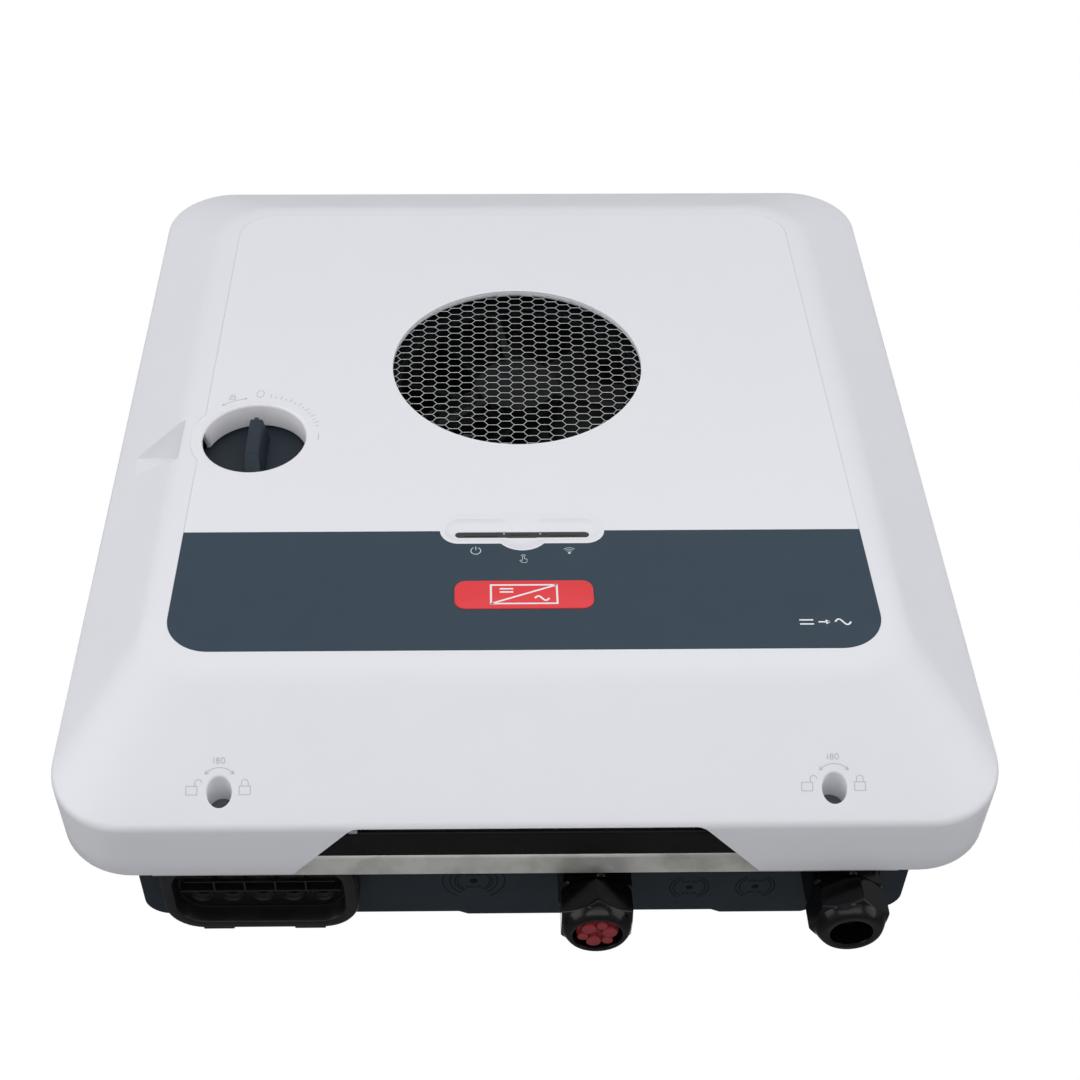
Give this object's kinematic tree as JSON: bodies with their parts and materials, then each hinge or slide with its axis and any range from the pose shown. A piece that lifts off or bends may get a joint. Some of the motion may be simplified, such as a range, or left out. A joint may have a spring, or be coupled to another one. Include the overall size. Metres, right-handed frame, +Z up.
{
  "type": "string inverter",
  "caption": "Wall-hung solar string inverter: white hinged cover with fan grille, disconnector knob, light bar and dark band; slate rear housing, cable glands and seal entry underneath.",
  "frame": {"origin": "middle of the wall bracket's four bolt holes, on the wall plane", "axes": "+X to the viewer's right, +Y into the wall, +Z up, as the inverter hangs"},
  "size_m": [0.474, 0.1655, 0.549],
  "materials": {
    "galvanised": "galvanised, dull spangle",
    "housing_plastic": "fine moulded texture",
    "black_plastic": "moulded, satin",
    "gloss_black": "polished polyamide",
    "rubber": "soft seal rubber",
    "white_plastic": "fine satin moulding",
    "white_film": "satin printed film",
    "slate_film": "satin printed film",
    "light_window": "dark translucent window",
    "mesh_metal": "bright expanded mesh",
    "knob_plastic": "satin moulding",
    "badge_red": "printed badge",
    "aluminium": "extruded and sawn",
    "circuit_board": "solder mask",
    "capacitor_sleeve": "shrink sleeve",
    "film_case": "potted case",
    "choke_case": "potted die-cast case",
    "copper": "enamelled winding",
    "brass": "turned",
    "terminal_orange": "moulded",
    "terminal_grey": "moulded",
    "terminal_green": "moulded",
    "steel": "zinc plated",
    "plug_red": "red rubber plugs",
    "natural_plastic": "natural polyamide",
    "clear_guide": "frosted light guide"
  },
  "bodies": {
    "bracket": {"wall_bracket": "galvanised"},
    "inverter": {"hanger_rail": "galvanised", "wall_buffers": "rubber", "rear_housing": "housing_plastic", "housing_gasket": "rubber", "chassis_plate": "galvanised", "plate_screws": "steel", "heat_sink": "aluminium", "fan_duct": "black_plastic", "fan_frame": "black_plastic", "inner_cover": "black_plastic", "inner_cover_screws": "steel", "power_board": "circuit_board", "board_standoffs": "brass", "power_modules": "black_plastic", "bulk_capacitors": "capacitor_sleeve", "film_capacitors": "film_case", "boost_chokes": "choke_case", "output_choke": "copper", "line_filter": "copper", "relays": "black_plastic", "control_board": "circuit_board", "radio_module": "circuit_board", "status_board": "circuit_board", "light_guide": "clear_guide", "disconnector_body": "black_plastic", "connection_tray": "black_plastic", "tray_gasket": "rubber", "comms_board": "circuit_board", "data_terminals": "terminal_green", "network_sockets": "steel", "dc_terminals": "terminal_orange", "ac_terminals": "terminal_grey", "ground_bar": "brass", "dc_entry_frame": "gloss_black", "dc_entry_insert": "black_plastic", "dc_entry_seals": "rubber", "gland_bodies": "gloss_black", "gland_locknuts": "black_plastic", "gland_nuts": "gloss_black", "gland_seals": "rubber", "plug_insert": "plug_red", "hinge_brackets": "galvanised", "latch_sockets": "natural_plastic"},
    "fan": {"fan_rotor": "black_plastic"},
    "knob": {"disconnector_shaft": "steel", "disconnector_knob": "knob_plastic"},
    "cover": {"front_cover": "white_plastic", "front_film": "white_film", "band_film": "slate_film", "light_bar_frame": "white_plastic", "light_window": "light_window", "grille_mesh": "mesh_metal", "grille_ring": "white_plastic", "grille_screws": "steel", "badge": "badge_red"},
    "lock_left": {"latch_left": "steel"},
    "lock_right": {"latch_right": "steel"}
  },
  "joints": [
    {"name": "lift_off", "type": "slide", "parent": "bracket", "child": "inverter", "axis": [0, 0, 1], "range_m": [0, 0.025]},
    {"name": "fan_spin", "type": "hinge", "parent": "inverter", "child": "fan", "pos_m": [0, -0.13, 0.0404], "axis": [0, -1, 0], "continuous": true},
    {"name": "knob_turn", "type": "hinge", "parent": "inverter", "child": "knob", "pos_m": [-0.151, -0.1475, -0.0264], "axis": [0, 1, 0], "range_deg": [-90, 90]},
    {"name": "cover_hinge", "type": "hinge", "parent": "inverter", "child": "cover", "pos_m": [0, -0.1, 0.247], "axis": [-1, 0, 0], "range_deg": [0, 40]},
    {"name": "lock_left_turn", "type": "hinge", "parent": "cover", "child": "lock_left", "pos_m": [-0.1494, -0.116, -0.2505], "axis": [0, 1, 0], "range_deg": [-180, 0]},
    {"name": "lock_right_turn", "type": "hinge", "parent": "cover", "child": "lock_right", "pos_m": [0.1494, -0.116, -0.2505], "axis": [0, 1, 0], "range_deg": [-180, 0]}
  ]
}
